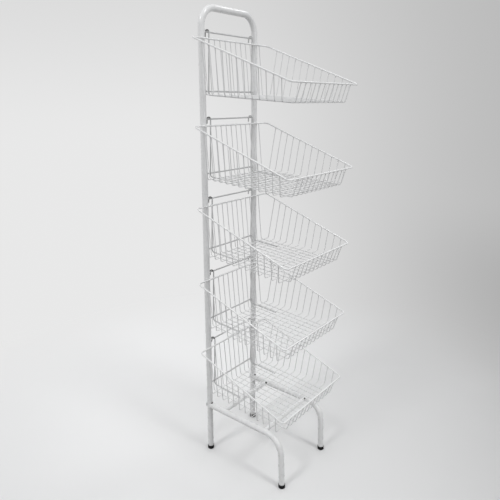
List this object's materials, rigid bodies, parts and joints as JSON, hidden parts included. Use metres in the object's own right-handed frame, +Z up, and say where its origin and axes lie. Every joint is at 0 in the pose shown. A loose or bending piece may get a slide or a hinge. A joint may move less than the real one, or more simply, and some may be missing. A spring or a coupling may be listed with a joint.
{
  "type": "wire basket stand",
  "caption": "Tall white display stand: a bent-tube arch on a four-footed base, with open wire baskets hooked on cross rods one above the other.",
  "frame": {"origin": "on the floor, under the centre of the stand's bounding box", "axes": "+Z up, -Y towards the side from which the baskets are filled, +X to the right seen from the front"},
  "size_m": [0.362, 0.3723, 1.4997],
  "materials": {
    "paint": "white powder coat",
    "basket_paint": "white plastic-dip coat",
    "rubber": "matt black",
    "bolt": "zinc"
  },
  "bodies": {
    "frame": {"upright_frame": "paint", "upper_rod_1": "paint", "upper_rod_2": "paint", "upper_rod_3": "paint", "upper_rod_4": "paint", "upper_rod_5": "paint", "lower_rod_1": "paint", "lower_rod_2": "paint", "lower_rod_3": "paint", "lower_rod_4": "paint", "lower_rod_5": "paint", "leg_left": "paint", "leg_right": "paint", "cross_tube_rear": "paint", "cross_tube_front": "paint", "foot_cap_front_left": "rubber", "foot_cap_front_right": "rubber", "foot_cap_rear_left": "rubber", "foot_cap_rear_right": "rubber", "leg_bolt_left": "bolt", "leg_bolt_right": "bolt"},
    "basket_1": {"basket_1_cage": "basket_paint", "basket_1_hanger_left": "basket_paint", "basket_1_hanger_right": "basket_paint"},
    "basket_2": {"basket_2_cage": "basket_paint", "basket_2_hanger_left": "basket_paint", "basket_2_hanger_right": "basket_paint"},
    "basket_3": {"basket_3_cage": "basket_paint", "basket_3_hanger_left": "basket_paint", "basket_3_hanger_right": "basket_paint"},
    "basket_4": {"basket_4_cage": "basket_paint", "basket_4_hanger_left": "basket_paint", "basket_4_hanger_right": "basket_paint"},
    "basket_5": {"basket_5_cage": "basket_paint", "basket_5_hanger_left": "basket_paint", "basket_5_hanger_right": "basket_paint"}
  },
  "joints": [
    {"name": "basket_1_swing", "type": "hinge", "parent": "frame", "child": "basket_1", "pos_m": [0, 0.17128, 1.422], "axis": [-1, 0, 0], "range_deg": [0, 100]},
    {"name": "basket_2_swing", "type": "hinge", "parent": "frame", "child": "basket_2", "pos_m": [0, 0.17128, 1.17499], "axis": [-1, 0, 0], "range_deg": [0, 35]},
    {"name": "basket_3_swing", "type": "hinge", "parent": "frame", "child": "basket_3", "pos_m": [0, 0.17128, 0.92798], "axis": [-1, 0, 0], "range_deg": [0, 35]},
    {"name": "basket_4_swing", "type": "hinge", "parent": "frame", "child": "basket_4", "pos_m": [0, 0.17128, 0.68097], "axis": [-1, 0, 0], "range_deg": [0, 35]},
    {"name": "basket_5_swing", "type": "hinge", "parent": "frame", "child": "basket_5", "pos_m": [0, 0.17128, 0.43396], "axis": [-1, 0, 0], "range_deg": [0, 35]}
  ]
}
